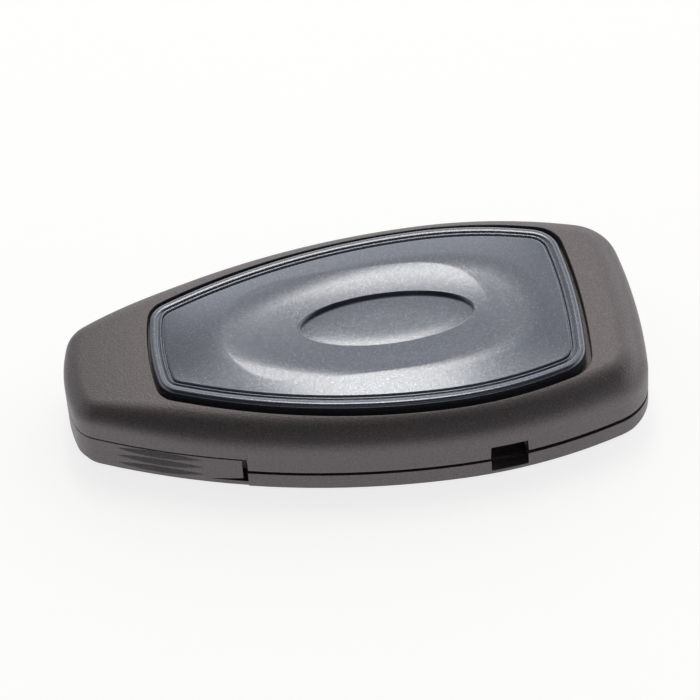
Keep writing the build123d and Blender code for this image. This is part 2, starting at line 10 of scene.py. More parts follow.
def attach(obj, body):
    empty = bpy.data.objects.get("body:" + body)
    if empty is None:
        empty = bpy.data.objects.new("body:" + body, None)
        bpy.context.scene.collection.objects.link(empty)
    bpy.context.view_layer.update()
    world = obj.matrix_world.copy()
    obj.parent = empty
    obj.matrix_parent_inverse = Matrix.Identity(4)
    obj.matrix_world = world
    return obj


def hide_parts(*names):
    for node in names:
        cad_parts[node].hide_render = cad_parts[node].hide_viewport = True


# Car remote with a lift-off cover and a crowned gloss panel. X runs along the fob, Y across
# it, Z up. Lengths are millimetres, apart from those of the floor and the lights.
MM = 0.001
MICRO = 1e-6
PER_METRE = 1000
TINY = 1e-6

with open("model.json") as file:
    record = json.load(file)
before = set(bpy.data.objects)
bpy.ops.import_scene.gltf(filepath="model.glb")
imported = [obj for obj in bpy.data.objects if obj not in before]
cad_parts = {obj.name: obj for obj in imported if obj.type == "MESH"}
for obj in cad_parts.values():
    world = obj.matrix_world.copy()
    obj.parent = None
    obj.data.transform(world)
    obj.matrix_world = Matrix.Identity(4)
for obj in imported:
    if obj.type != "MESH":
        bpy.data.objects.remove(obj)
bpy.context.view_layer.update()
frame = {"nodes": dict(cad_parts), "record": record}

# Plan outlines: narrow end, middle, wide end. An end is x, half width, bulge, corner radius.
BODY = ((-36.0, 7.85, 1.3, 4.45), (11.0, 20.0), (36.15, 14.5, 1.15, 7.0))
PANEL = ((-25.05, 7.5, 0.75, 3.4), (10.8, 16.1), (28.45, 12.5, 0.9, 4.4))
WINDOW = ((-25.3, 8.45, 0.75, 3.4), (10.8, 17.05), (29.05, 13.45, 0.9, 4.4))

# Cover. Its top line is level, apart from its fall from FALL_X to NOSE_Z at NOSE_X. The
# shoulder's radius tightens from TIGHT_FROM to NOSE_X.
COVER_RIM = 3.1
WIDE_GAP = 0.12
ARM_RIM = 5.05
CREST = 10.3
FALL_X = -21.0
NOSE_X = -38.3
NOSE_Z = 8.9
SHOULDER = 4.0
TIP_SHOULDER = 2.2
TIGHT_FROM = -20.0
WALL = 1.5
EDGE = 0.12
EDGE_SHARES = (1.0, 0.5, 0.15, 0.0)
ROLL_REACH = 1.1
ROLL_MOST = 0.85
WINDOW_EDGE = 0.16
WINDOW_ROOM = 0.24
SEAT_Z = 8.9
LEDGE_Z = 8.1
LEDGE_WIDTH = 2.0
CATCH_Z = (5.3, 5.9)
CATCH_REACH = 0.35
CATCH_X = (-19.6, -17.0)
CATCH_ROWS = 7

# Arms, with their grooves, bevelled foot (inset and height above their bottom), pin's eye and
# web, and the slot
ARM_STOP = -15.65
ARM_END = -16.15
ARM_Z = (0.9, 4.95)
ARM_LIFT = 0.8
LIFT_FROM = -25.0
ARM_WALL = 1.6
ARM_BEVEL = ((0.2, 0.0), (0.12, 0.03), (0.04, 0.11), (0.01, 0.17))
ARM_FACE = 0.22
GROOVED_WITHIN = 0.14
LIFT_POWER = 1.5
SPLIT = 0.2
SCALLOP_X = -26.4
SCALLOP_HALF = 5.5
SCALLOP_PITCH = 1.3
SCALLOP_SHARE = 0.43
SCALLOP_PEAK = 0.6
SCALLOP_DEPTH = 0.46
SCALLOP_UP = 0.05
PIN = (-33.9, 4.5)
EYE_R = (0.55, 1.3)
EYE_Z = (1.6, 4.15)
EYE_BEVEL = 0.08
WEB_X = (-36.18, -34.65)
WEB_HALF = 1.196
WEB_Z = (1.62, 4.13)
SLOT_X = (14.85, 19.65)
SLOT_TOP = 5.0

# Panel: bead, field with a dish and a bowl in it, and the oval place of the badge
BEAD_Z = 10.95
FIELD_Z = 10.86
BEAD_R = 0.5
PANEL_BEVEL = 0.08
FIELD_LIP = 0.03
FIELD_INSET = 1.95
CROWN = 0.93
DISH_X = 7.0
DISH_Z = 11.04
DISH_RISE = 0.29
DISH_HALF = (17.0, 9.7)
BOWL_X = 0.8
BOWL_HALF = (17.2, 9.9)
BOWL_DEPTH = 0.14
CREASE = 0.06
OVAL_X = 4.75
OVAL_HALF = (11.3, 4.8)
OVAL_DEPTH = 0.4
OVAL_DOME = 0.13
OVAL_FLOOR = (0.98, 0.05)
PANEL_HOLLOW_Z = 9.63
PANEL_RIM = 2.3

# Points on the arcs of an outline, of half the narrow end and of a pin's eye
CORNER, END, TIP = 20, 48, 36
ARM_TIP, ARM_CORNER, ARM_SIDE = 18, 20, 151
EYE_SIDES = 48

# Rows of the larger faces and of the small rounds
SHOULDER_ROWS, TOP_ROWS, WALL_ROWS, FIELD_ROWS = 18, 14, 9, 84
ARM_ROWS, FLOOR_ROWS, BEAD_ROWS, WINDOW_ROWS, CORNER_ROWS = 64, 22, 12, 6, 4
ROUND = (0, 30, 60, 90)

# Marks along a side: how many stand on each stretch, and how far they keep from a cut-out
TIP_MARKS, CATCH_MARKS, MIDDLE_MARKS, SLOT_MARKS, WIDE_MARKS = 34, 6, 46, 8, 18
FIRST, SECOND, THIRD, FOURTH, FIFTH = 0.2, 0.3, 0.4, 0.6, 0.9

# Width of a cut-out's upright step, and the smallest corner of an outline that moves inwards
STEP = 0.04
LEAST_RADIUS = 0.2


def circle(a, b, c):
    """Centre and radius of the circle through three points."""
    (ax, ay), (bx, by), (cx, cy) = a, b, c
    d = 2 * (ax * (by - cy) + bx * (cy - ay) + cx * (ay - by))
    a2, b2, c2 = ax * ax + ay * ay, bx * bx + by * by, cx * cx + cy * cy
    x = (a2 * (by - cy) + b2 * (cy - ay) + c2 * (ay - by)) / d
    y = (a2 * (cx - bx) + b2 * (ax - cx) + c2 * (bx - ax)) / d
    return x, y, hypot(ax - x, ay - y)


def crossing(first, second, towards):
    """The crossing of two circles that lies further along +X or -X, as towards says."""
    (ax, ay, ar), (bx, by, br) = first, second
    span = hypot(bx - ax, by - ay)
    along = (span * span + ar * ar - br * br) / (2 * span)
    off = sqrt(ar * ar - along * along)
    ux, uy = (bx - ax) / span, (by - ay) / span
    points = [(ax + along * ux - s * off * uy, ay + along * uy + s * off * ux) for s in (-1, 1)]
    return max(points, key=lambda point: towards * point[0])


def bow(end, middle):
    """Circle of one side: through the end point and level at the widest point, the middle.

    With the drop from the middle's half width to the end's, its radius is the run squared
    plus the drop squared, over twice the drop.
    """
    (x, half), (middle_x, widest) = end, middle
    drop = widest - half
    radius = ((x - middle_x) ** 2 + drop ** 2) / (2 * drop)
    return middle_x, widest - radius, radius


def circles(shape, inset):
    """Circles of an outline moved inwards: slim bow, full bow, tip, end, narrow and wide corner.

    A corner circle is tangent from inside to the bowed side and to the bowed end, so its
    centre is where the two bows, shrunk by its radius, cross.
    """
    (nx, nw, nb, nr), middle, (wx, ww, wb, wr) = shape
    tip = circle((nx, nw), (nx - nb, 0), (nx, -nw))
    end = circle((wx, ww), (wx + wb, 0), (wx, -ww))
    slim, full = bow((nx, nw), middle), bow((wx, ww), middle)
    slim, full, tip, end = [(x, y, r - inset) for x, y, r in (slim, full, tip, end)]
    narrow, wide = [
        (*crossing((*side[:2], side[2] - r), (*cap[:2], cap[2] - r), towards), r)
        for side, cap, r, towards in (
            (slim, tip, max(nr - inset, LEAST_RADIUS), -1),
            (full, end, max(wr - inset, LEAST_RADIUS), 1),
        )
    ]
    return slim, full, tip, end, narrow, wide


def heading(start, goal):
    """Angle of the line from one circle's centre to another's."""
    return atan2(goal[1] - start[1], goal[0] - start[0])


def arc(centre, start, stop, count):
    """Points of a circle's arc from one angle to another, without the last one."""
    t = start + (stop - start) * np.arange(count) / count
    return np.stack([centre[0] + centre[2] * np.cos(t), centre[1] + centre[2] * np.sin(t)], 1)


def side_ends(shape, inset):
    """The x values at which an outline's bowed side meets its corners."""
    slim, full, _, _, narrow, wide = circles(shape, inset)
    return (
        slim[0] + slim[2] * cos(heading(slim, narrow)),
        full[0] + full[2] * cos(heading(full, wide)),
    )


def side_height(shape, inset, x):
    """Half width of an outline's bowed side at x: the slim bow before the middle, then the full."""
    slim, full = circles(shape, inset)[:2]
    cx = np.where(x < slim[0], slim[0], full[0])
    cy = np.where(x < slim[0], slim[1], full[1])
    r = np.where(x < slim[0], slim[2], full[2])
    return cy + np.sqrt(r ** 2 - (x - cx) ** 2)


def beside(x):
    """Two marks a hair apart, between which a cut-out has its upright edge."""
    return x - STEP / 2, x + STEP / 2


BODY_ENDS = side_ends(BODY, 0.0)
MARKS = np.array([
    *np.linspace(BODY_ENDS[0], CATCH_X[0] - SECOND, TIP_MARKS),
    *beside(CATCH_X[0]),
    *np.linspace(CATCH_X[0] + SECOND, CATCH_X[1] - SECOND, CATCH_MARKS),
    *beside(CATCH_X[1]),
    ARM_STOP - FIFTH, ARM_STOP - THIRD, *beside(ARM_STOP), ARM_STOP + FIRST,
    *np.linspace(ARM_STOP + FOURTH, SLOT_X[0] - FOURTH, MIDDLE_MARKS),
    SLOT_X[0] - FIRST, *beside(SLOT_X[0]),
    *np.linspace(SLOT_X[0] + THIRD, SLOT_X[1] - THIRD, SLOT_MARKS),
    *beside(SLOT_X[1]), SLOT_X[1] + FIRST,
    *np.linspace(SLOT_X[1] + FOURTH, BODY_ENDS[1], WIDE_MARKS),
])
HELD = (CATCH_X[0] - 1.0, SLOT_X[1] + 1.0)
COUNT = 2 * (len(MARKS) - 1) + 4 * CORNER + END + TIP
FAR_START = len(MARKS) - 1 + 2 * CORNER + END


def mark_x():
    """The mark that each column of a ring stands on, or nan round the ends."""
    x = np.full(COUNT, np.nan)
    x[:len(MARKS)] = MARKS
    x[FAR_START:FAR_START + len(MARKS)] = MARKS[::-1]
    return x


MARK_X = mark_x()
COLUMNS = np.arange(COUNT)
IN_ARMS = (COLUMNS >= FAR_START + len(MARKS)) | (MARK_X < ARM_STOP)
IN_SLOT = (COLUMNS < len(MARKS)) & (MARK_X > SLOT_X[0]) & (MARK_X < SLOT_X[1])
IN_CATCH = (MARK_X > CATCH_X[0]) & (MARK_X < CATCH_X[1])


def ring(shape, inset, push=0.0):
    """Closed outline, counter-clockwise from above, that keeps its columns as it moves inwards.

    The sides run along MARKS, spread to the outline's own length. Those of the body hold
    still between HELD and slide with the corners outside it, by the share of the way to the
    corner. push moves single marks along x. The other arcs have fixed numbers of points.
    """
    slim, full, tip, end, narrow, wide = circles(shape, inset)
    (b0, b1), (x0, x1) = side_ends(shape, 0.0), side_ends(shape, inset)
    share = (MARKS - MARKS[0]) / (MARKS[-1] - MARKS[0])
    x = b0 + share * (b1 - b0)
    h0, h1 = HELD if shape is BODY else ((b0 + b1) / 2,) * 2
    to_narrow = np.clip((h0 - x) / (h0 - b0), 0, 1)
    to_wide = np.clip((x - h1) / (b1 - h1), 0, 1)
    x = x + (x0 - b0) * to_narrow + (x1 - b1) * to_wide + push
    y = side_height(shape, inset, x)
    near, far = np.stack([x, -y], 1), np.stack([x, y], 1)[::-1]
    a_slim, a_full = heading(slim, narrow), heading(full, wide)
    a_tip, a_end = heading(tip, narrow), heading(end, wide)
    near_wide, near_narrow = (wide[0], -wide[1], wide[2]), (narrow[0], -narrow[1], narrow[2])
    return np.concatenate([
        near[:-1],
        arc(near_wide, -a_full, -a_end, CORNER),
        arc(end, -a_end, a_end, END),
        arc(wide, a_end, a_full, CORNER),
        far[:-1],
        arc(narrow, a_slim, a_tip, CORNER),
        arc(tip, a_tip, 2 * pi - a_tip, TIP),
        arc(near_narrow, 2 * pi - a_tip, 2 * pi - a_slim, CORNER),
    ])


def body_depth(x, y):
    """Distance inwards from the body's outline.

    It is what the side's circle gives, radius less distance from the centre, or the end's
    where that is less, and in the sector of a corner what that corner's circle gives.
    """
    slim, full, tip, end, narrow, wide = circles(BODY, 0.0)
    y = np.abs(y)

    def within(c):
        return c[2] - np.hypot(x - c[0], y - c[1])

    depth = np.where(x < slim[0], within(slim), within(full))
    depth = np.where(x < narrow[0], np.minimum(depth, within(tip)), depth)
    depth = np.where(x > wide[0], np.minimum(depth, within(end)), depth)
    for corner, side, cap in ((narrow, slim, tip), (wide, full, end)):
        low, high = sorted((heading(side, corner), heading(cap, corner)))
        angle = np.arctan2(y - corner[1], x - corner[0])
        depth = np.where((angle > low) & (angle < high), within(corner), depth)
    return np.maximum(depth, 0)


def rounded(depth, radius):
    """How far a rounded edge draws back at a depth below the face: radius less a circle's rise."""
    t = np.clip(1 - depth / radius, 0, 1)
    return radius * (1 - np.sqrt(1 - t * t))


def crest_line(x):
    """Height of the cover's top line: level, then a circular arc down to the narrow end."""
    run, drop = FALL_X - NOSE_X, CREST - NOSE_Z
    r = (run * run + drop * drop) / (2 * drop)
    past = np.clip(FALL_X - x, 0, run)
    return CREST - (r - np.sqrt(r * r - past * past))


def with_z(flat, z):
    """Points of a flat ring at a height, which may differ from column to column."""
    return np.column_stack([flat, np.broadcast_to(z, len(flat))])


def push_at(depth):
    """Moves the marks beside a cut-out along x, so that its upright edges are rounded."""
    back = rounded(depth, EDGE)
    push = np.zeros(len(MARKS))
    push[np.isclose(MARKS, beside(ARM_STOP)[1])] = back
    push[np.isclose(MARKS, beside(SLOT_X[0])[0])] = -back
    push[np.isclose(MARKS, beside(SLOT_X[1])[1])] = back
    return push


def shoulder(x):
    """Radius of the roll between wall and top, which tightens smoothly round the narrow end.

    It goes from one radius to the other by three times the squared share of the way less
    twice its cube.
    """
    t = np.clip((x - NOSE_X) / (TIGHT_FROM - NOSE_X), 0, 1)
    return TIP_SHOULDER + (SHOULDER - TIP_SHOULDER) * t * t * (3 - 2 * t)


def cover_top(x, y):
    """Height of the cover's upper face: the top line less what the shoulder's round takes."""
    return crest_line(x) - rounded(body_depth(x, y), shoulder(x))


def cover_stations():
    """Section of the cover: bottom rim, wall, rolled shoulder, top, window, ledge, inside.

    The upper face lies along straight lines from the outline to the window. Its rows follow
    equal angles of the roll first, then equal steps, then the small round of the window's
    edge, and every height comes from cover_top.
    """
    low = np.where(IN_ARMS, ARM_RIM, np.where(IN_SLOT, SLOT_TOP, COVER_RIM))
    past_slot = (COLUMNS < FAR_START) & ~(MARK_X < SLOT_X[1])
    low = np.where(past_slot, COVER_RIM + WIDE_GAP, low)
    stations = []
    for depth in (WALL, WALL / 2, *(EDGE * share for share in EDGE_SHARES)):
        stations.append(with_z(ring(BODY, depth, push_at(depth)), low + rounded(depth, EDGE)))
    outer, window = ring(BODY, 0.0), ring(WINDOW, 0.0)
    pushed = ring(BODY, 0.0, push_at(0.0))
    start, stop = low + EDGE, cover_top(*outer.T)
    for t in np.linspace(0, 1, WALL_ROWS + 1)[1:]:
        z = start + (stop - start) * t
        stations.append(with_z(np.where((z < ARM_RIM)[:, None], pushed, outer), z))
    across = window - outer
    width = np.linalg.norm(across, axis=1)
    inward = across / width[:, None]
    roll = np.minimum(shoulder(outer[:, 0]) * ROLL_REACH, width * ROLL_MOST)
    top = width - roll - WINDOW_ROOM
    for a in np.linspace(0, pi / 2, SHOULDER_ROWS + 1)[1:]:
        flat = outer + inward * (roll * (1 - cos(a)))[:, None]
        stations.append(with_z(flat, cover_top(*flat.T)))
    for t in np.linspace(0, 1, TOP_ROWS + 1)[1:]:
        flat = outer + inward * (roll + top * t)[:, None]
        stations.append(with_z(flat, cover_top(*flat.T)))
    for a in np.linspace(0, pi / 2, WINDOW_ROWS):
        flat = window - inward * WINDOW_EDGE * (1 - sin(a))
        stations.append(with_z(flat, cover_top(*flat.T) - WINDOW_EDGE * (1 - cos(a))))
    stations.append(with_z(window, SEAT_Z))
    ledge, inner = ring(PANEL, LEDGE_WIDTH), ring(BODY, WALL)
    stations.append(with_z(ledge, SEAT_Z))
    for t in (0.0, 0.5, 1.0):
        flat = ledge + (inner - ledge) * t
        stations.append(with_z(flat, np.minimum(LEDGE_Z, crest_line(flat[:, 0]) - WALL)))
    catch = np.where(IN_CATCH[:, None], ring(BODY, WALL + CATCH_REACH), inner)
    low_z, high_z = CATCH_Z
    for flat, z in ((inner, high_z), (catch, high_z), (catch, low_z), (inner, low_z)):
        stations.append(with_z(flat, z))
    return stations


def field_height(x, y):
    """Height of the panel's field: a pillow that falls to the bead, with a shallow dish in it.

    The pillow rises by CROWN times one less the square of y over the half width, times one
    less the fourth power of the share of the half length. The half width is the widest one
    less the drop to the end's times the square of the share of the way there. The dish is a
    bowl: its floor plus DISH_RISE times the squares of the shares of its half sizes. The
    lower one counts. Where they meet, CREASE comes off, times the square of one less their
    gap over four times CREASE. A flat-bottomed bowl, about as large as the dish, takes away
    BOWL_DEPTH times one less the squared sum of the fourth power and the square of the
    shares of its own half sizes.
    """
    (narrow_x, narrow_half, _, _), (middle_x, widest), (wide_x, wide_half, wide_bulge, _) = PANEL
    middle = (narrow_x + wide_x) / 2
    half_length = (wide_x - narrow_x) / 2 - FIELD_INSET + wide_bulge
    slim = x < middle_x
    drop = widest - np.where(slim, narrow_half, wide_half)
    span = np.where(slim, narrow_x, wide_x) - middle_x
    half_width = widest - FIELD_INSET - drop * ((x - middle_x) / span) ** 2
    across = np.clip((y / half_width) ** 2, 0, 1)
    along = np.clip(((x - middle) / half_length) ** 4, 0, 1)
    pillow = FIELD_Z + CROWN * (1 - across) * (1 - along)
    dish = DISH_Z + DISH_RISE * (((x - DISH_X) / DISH_HALF[0]) ** 2 + (y / DISH_HALF[1]) ** 2)
    gap = np.abs(pillow - dish)
    bowl = 1 - (((x - BOWL_X) / BOWL_HALF[0]) ** 4 + (y / BOWL_HALF[1]) ** 2) ** 2
    crease = CREASE * np.maximum(0, 1 - gap / (4 * CREASE)) ** 2
    return np.minimum(pillow, dish) - crease - BOWL_DEPTH * np.maximum(0, bowl)


# Trim between the panel's bead and its field, as depth in from the outline and drop, and the
# oval's upright rim, as share of its size and drop
TRIM = (
    (0.62, 0.0), (0.78, 0.005), (0.92, 0.03), (1.04, 0.07), (1.12, 0.13), (1.17, 0.2), (1.24, 0.22),
    (1.3, 0.18), (1.34, 0.11), (1.39, 0.07), (1.45, 0.055), (1.52, 0.065), (1.58, 0.1), (1.62, 0.18),
    (1.65, 0.32), (1.69, 0.4), (1.84, 0.4), (1.88, 0.34), (1.9, 0.15),
)
OVAL_RIM = ((0.997, 0.02), (0.994, 0.06), (0.985, 0.3))


def panel_stations():
    """Section of the panel: hollow, wall, round bead, trim, crowned field, oval and its floor."""
    stations = [
        with_z(ring(PANEL, PANEL_RIM), PANEL_HOLLOW_Z), with_z(ring(PANEL, PANEL_RIM), SEAT_Z),
        with_z(ring(PANEL, PANEL_BEVEL), SEAT_Z), with_z(ring(PANEL, 0.0), SEAT_Z + PANEL_BEVEL),
    ]
    for a in np.linspace(0, pi / 2, BEAD_ROWS):
        stations.append(with_z(ring(PANEL, BEAD_R * (1 - cos(a))), BEAD_Z - BEAD_R * (1 - sin(a))))
    for inset, drop in TRIM:
        stations.append(with_z(ring(PANEL, inset), BEAD_Z - drop))
    edge, lip = ring(PANEL, FIELD_INSET), ring(PANEL, FIELD_INSET - FIELD_LIP)
    stations.append(with_z(lip, field_height(*edge.T) - FIELD_LIP))
    angle = np.arctan2(edge[:, 1] / OVAL_HALF[1], (edge[:, 0] - OVAL_X) / OVAL_HALF[0])
    centre = np.array([OVAL_X, 0.0])
    oval = np.stack([OVAL_HALF[0] * np.cos(angle), OVAL_HALF[1] * np.sin(angle)], 1)
    for t in np.linspace(0, 1, FIELD_ROWS):
        flat = edge + (centre + oval - edge) * t
        stations.append(with_z(flat, field_height(*flat.T)))
    for share, drop in OVAL_RIM:
        flat = centre + oval * share
        stations.append(with_z(flat, field_height(*flat.T) - drop))
    middle_z = field_height(OVAL_X, 0.0)
    for share in np.linspace(*OVAL_FLOOR, FLOOR_ROWS):
        floor = middle_z - OVAL_DEPTH + OVAL_DOME * (1 - share ** 4)
        stations.append(with_z(centre + oval * share, floor))
    return stations


def grid_faces(rows, columns, wrap_rows, wrap_columns):
    """Quads of a grid of points, row by row, closed along either way where asked."""
    i, j = np.meshgrid(
        np.arange(rows if wrap_rows else rows - 1),
        np.arange(columns if wrap_columns else columns - 1), indexing="ij",
    )
    i, j = i.ravel(), j.ravel()
    i1, j1 = (i + 1) % rows, (j + 1) % columns
    return np.stack([i * columns + j, i * columns + j1, i1 * columns + j1, i1 * columns + j], 1)


def mesh_piece(name, shells, sharp):
    """Object from (points in millimetres, faces) shells, smooth but for edges over sharp degrees."""
    points, faces, start = [], [], 0
    for shell_points, shell_faces in shells:
        points.append(np.asarray(shell_points).reshape(-1, 3))
        faces += [[start + int(k) for k in face] for face in shell_faces]
        start += len(points[-1])
    mesh = bpy.data.meshes.new(name)
    mesh.from_pydata((np.concatenate(points) * MM).tolist(), [], faces)
    bm = bmesh.new()
    bm.from_mesh(mesh)
    bmesh.ops.recalc_face_normals(bm, faces=bm.faces)
    bm.to_mesh(mesh)
    bm.free()
    mesh.polygons.foreach_set("use_smooth", np.ones(len(mesh.polygons), bool))
    mesh.set_sharp_from_angle(angle=radians(sharp))
    obj = bpy.data.objects.new(name, mesh)
    bpy.context.scene.collection.objects.link(obj)
    return obj


def tube(stations):
    """Shell of rings whose last one joins the first."""
    points = np.stack(stations)
    return points, grid_faces(*points.shape[:2], True, True)


def capped(stations):
    """Shell of rings closed by a face across its first and its last ring."""
    points = np.stack(stations)
    rows, columns, _ = points.shape
    faces = grid_faces(rows, columns, False, True).tolist()
    last = np.arange(columns) + (rows - 1) * columns
    return points, [*faces, np.arange(columns)[::-1], last]


def fanned(stations):
    """Shell of rings closed by a fan to the middle of its first and of its last ring."""
    ends = stations[0], stations[-1]
    first, last = [np.broadcast_to(flat.mean(0), flat.shape) for flat in ends]
    points = np.stack([first, *stations, last])
    rows, columns, _ = points.shape
    faces = grid_faces(rows, columns, False, True)
    faces = np.where(faces < columns, 0, faces)
    faces = np.where(faces >= (rows - 1) * columns, (rows - 1) * columns, faces)
    return points, [list(dict.fromkeys(face)) for face in faces.tolist()]


def arm_outline(inset):
    """Half of the narrow end's outline at an inset, from the split round to the arm's end."""
    slim, _, tip, _, narrow, _ = circles(BODY, inset)
    a_tip, a_slim = heading(tip, narrow), heading(slim, narrow)
    return np.concatenate([
        arc(tip, pi - asin(SPLIT / tip[2]), a_tip, ARM_TIP),
        arc(narrow, a_tip, a_slim, ARM_CORNER),
        arc(slim, a_slim, acos((ARM_END - slim[0]) / slim[2]), ARM_SIDE),
    ])


def scallop_depth(x, z):
    """Depth of the finger grooves, three lenses that narrow as a parabola to both ends.

    Up a lens the depth grows evenly from its lower rim to SCALLOP_PEAK of its half height
    above the middle, and falls steeply to the upper rim, so that the cut face looks up.
    """
    middle = (ARM_Z[0] + ARM_Z[1]) / 2 + SCALLOP_UP
    u = np.clip((x - SCALLOP_X) / SCALLOP_HALF, -1, 1)
    depth = np.zeros(np.broadcast(x, z).shape)
    half = SCALLOP_PITCH * SCALLOP_SHARE * (1 - u ** 2) + TINY
    for i in (-1, 0, 1):
        v = np.clip((z - middle - i * SCALLOP_PITCH) / half, -1, 1)
        rise = np.minimum((1 + v) / (1 + SCALLOP_PEAK), (1 - v) / (1 - SCALLOP_PEAK))
        depth = np.maximum(depth, SCALLOP_DEPTH * (1 - u ** 2) * rise)
    return depth


def corner_round(centre_inset, centre_z):
    """Points of a section's upper outer corner, rounded by EDGE, as inset and height."""
    a = np.linspace(0, pi / 2, CORNER_ROWS)
    return [(centre_inset - EDGE * cos(t), centre_z + EDGE * sin(t)) for t in a]


def arm_strip():
    """Strip round half the narrow end: bevelled foot, grooved face, rounded top edge.

    Its foot rises by ARM_LIFT times the share of the way from LIFT_FROM to the arm's end, to
    the power LIFT_POWER. What is above rises less, by the share of the height left above it.
    """
    bottom, top = ARM_Z
    section = [(ARM_WALL, bottom), *((inset, bottom + rise) for inset, rise in ARM_BEVEL)]
    section += [(0.0, z) for z in np.linspace(bottom + ARM_FACE, top - EDGE, ARM_ROWS)[:-1]]
    section += corner_round(EDGE, top - EDGE)
    section.append((ARM_WALL, top))
    outer, inner = arm_outline(0.0), arm_outline(ARM_WALL)
    inward = (inner - outer) / np.linalg.norm(inner - outer, axis=1)[:, None]
    rows = []
    for depth, z in section:
        cut = scallop_depth(outer[:, 0], z) if depth < GROOVED_WITHIN else np.zeros(len(outer))
        rows.append(with_z(outer + inward * (depth + cut)[:, None], z))
    strip = np.stack(rows, 1)
    share = np.clip((strip[:, :, 0] - LIFT_FROM) / (ARM_END - LIFT_FROM), 0, 1)
    strip[:, :, 2] += ARM_LIFT * share ** LIFT_POWER * (top - strip[:, :, 2]) / (top - bottom)
    middle_z = (bottom + top) / 2
    ends = []
    for row, other in ((0, 1), (-1, -2)):
        face = strip[row]
        centre = np.array([*face[:, :2].mean(0), middle_z])
        along = (face - strip[other]) / np.linalg.norm(face - strip[other], axis=1)[:, None]
        steps = []
        for a in np.radians(ROUND):
            shrink = EDGE * (1 - cos(a))
            step = face - along * EDGE * (1 - sin(a))
            pull = centre - face
            pull[:, 2] = np.clip(pull[:, 2], -shrink, shrink)
            flat = np.linalg.norm(pull[:, :2], axis=1)[:, None]
            pull[:, :2] *= np.minimum(shrink / np.maximum(flat, TINY), 1)
            steps.append(step + pull)
        ends.append(steps)
    return [*ends[0][::-1], *strip[1:-1], *ends[1]]


def pin_eye():
    """Eye that the arm turns on: a ring round the pin, as rings about its axis."""
    a = np.arange(EYE_SIDES) * 2 * pi / EYE_SIDES
    about = np.stack([np.cos(a), np.sin(a)], 1)
    (inner, outer), (low, high), edge = EYE_R, EYE_Z, EYE_BEVEL
    section = (
        (inner, low + edge), (inner + edge, low), (outer - edge, low), (outer, low + edge),
        (outer, high - edge), (outer - edge, high), (inner + edge, high), (inner, high - edge),
    )
    return [with_z(np.array(PIN) + r * about, z) for r, z in section]


def eye_web():
    """Web between the eye and the arm's inner face."""
    (x0, x1), (y0, y1) = WEB_X, (PIN[1] - WEB_HALF, PIN[1] + WEB_HALF)
    flat = np.array([(x0, y0), (x1, y0), (x1, y1), (x0, y1)])
    return [with_z(flat, z) for z in WEB_Z]


# Section of an arm's nose, as inset from the body's outline and height
NOSE_SECTION = (
    (0.9, 3.75), (2.9, 3.75), (2.95, 3.8), (2.95, 6.5), (2.85, 6.6), (2.05, 6.6), (1.95, 6.5),
    (1.95, 6.05), (2.0, 6.0), (2.25, 6.0), (2.25, 4.95), (0.9, 4.9),
)


def catch_nose():
    """Nose that reaches over the cover's catch: an upright stem with a step outwards at its top."""
    rows = []
    for x in np.linspace(*CATCH_X, CATCH_ROWS):
        flat = [(x, side_height(BODY, inset, np.array(x)), z) for inset, z in NOSE_SECTION]
        rows.append(np.array(flat, float))
    return rows


def softened(name, source, width, merged=0.001, level=0.4, sharp=30, segments=2):
    """Copy of a CAD node with its corners merged, its flats joined and its edges rounded.

    Corners closer than merged become one, faces that differ by less than level degrees
    join, and edges of more than sharp degrees get a round of the given width.
    """
    mesh = frame["nodes"][source].data.copy()
    mesh.name = name
    bm = bmesh.new()
    bm.from_mesh(mesh)
    bmesh.ops.remove_doubles(bm, verts=bm.verts, dist=merged * MM)
    bmesh.ops.dissolve_limit(bm, angle_limit=radians(level), verts=bm.verts, edges=bm.edges)
    bm.to_mesh(mesh)
    bm.free()
    mesh.polygons.foreach_set("use_smooth", np.ones(len(mesh.polygons), bool))
    mesh.set_sharp_from_angle(angle=radians(sharp))
    obj = bpy.data.objects.new(name, mesh)
    bpy.context.scene.collection.objects.link(obj)
    edge = obj.modifiers.new("rounded_edges", "BEVEL")
    edge.width = width * MM
    edge.segments = segments
    edge.limit_method = "ANGLE"
    edge.angle_limit = radians(sharp)
    return obj


# Materials, with linear colours and the distances of bumps in metres


def new_material(name):
    """Node material with its tree and its Principled shader."""
    material = bpy.data.materials.new(name)
    material.use_nodes = True
    return material, material.node_tree, material.node_tree.nodes["Principled BSDF"]


def node(tree, kind, inputs=None, **settings):
    """Adds a node, with its settings and the values or links of its inputs."""
    made = tree.nodes.new(kind)
    for key, value in settings.items():
        setattr(made, key, value)
    for key, value in (inputs or {}).items():
        if isinstance(value, bpy.types.NodeSocket):
            tree.links.new(value, made.inputs[key])
        else:
            made.inputs[key].default_value = value
    return made


def ramp(tree, factor, stops):
    """Colour ramp from (place, colour) stops."""
    made = node(tree, "ShaderNodeValToRGB", {"Fac": factor})
    line = made.color_ramp
    while len(line.elements) < len(stops):
        line.elements.new(0.5)
    for element, (place, colour) in zip(line.elements, stops):
        element.position = place
        element.color = (*colour, 1)
    return made.outputs["Color"]


# Size of the grain's pits over that of its fine noise, and the width of a pearl flake
CELL = 1.6
FLAKE = 0.1


